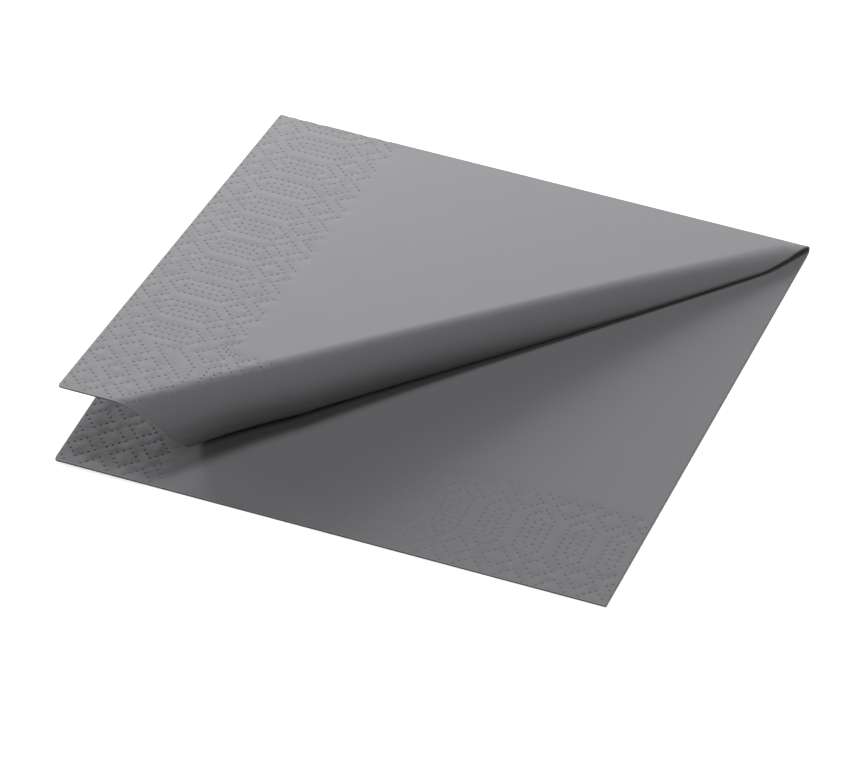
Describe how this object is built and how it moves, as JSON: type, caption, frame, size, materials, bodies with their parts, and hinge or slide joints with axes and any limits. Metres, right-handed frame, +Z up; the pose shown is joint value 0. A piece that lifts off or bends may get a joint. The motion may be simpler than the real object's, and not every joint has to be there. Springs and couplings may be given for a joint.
{
  "type": "folded paper napkin",
  "caption": "Square paper napkin folded twice, lying flat, with its upper leaf lifted at one corner and rolled softly under along the diagonal.",
  "frame": {"origin": "centre of the underside of the folded square", "axes": "+X along the front cut edge to the right, +Y towards the back fold, +Z up"},
  "size_m": [0.165, 0.165, 0.0264],
  "materials": {
    "paper": "matt grey tissue with a dotted embossed border"
  },
  "bodies": {
    "root": {"napkin": "paper"}
  },
  "joints": []
}
